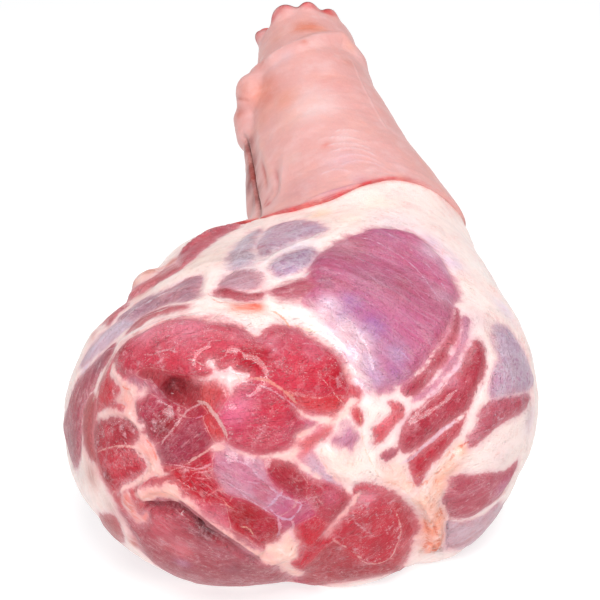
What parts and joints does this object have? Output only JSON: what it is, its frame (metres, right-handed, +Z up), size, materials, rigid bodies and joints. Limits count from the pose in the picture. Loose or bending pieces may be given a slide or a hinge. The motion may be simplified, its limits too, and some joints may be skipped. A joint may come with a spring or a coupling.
{
  "type": "raw pork leg",
  "caption": "Whole raw leg of pork lying down: rounded trimmed ham with a bulging cut face, tapering shank that keeps its rind, and a severed hock end.",
  "frame": {"origin": "under the middle of the leg, on the ground that it rests on", "axes": "+Z up, +Y along the leg from the cut face to the hock, +X to the right when looking at the cut face"},
  "size_m": [0.272, 0.44, 0.225],
  "materials": {
    "meat": "moist raw pork muscle, red to pink with fine fibres, white marbling and a silvery skin in places",
    "fat": "moist creamy white to pink fat and connective tissue",
    "rind": "smooth pale pink pig skin with fine pores and folds, slightly moist",
    "bone": "moist pinkish white bone and gristle"
  },
  "bodies": {
    "root": {"pork_leg": "meat"}
  },
  "joints": []
}
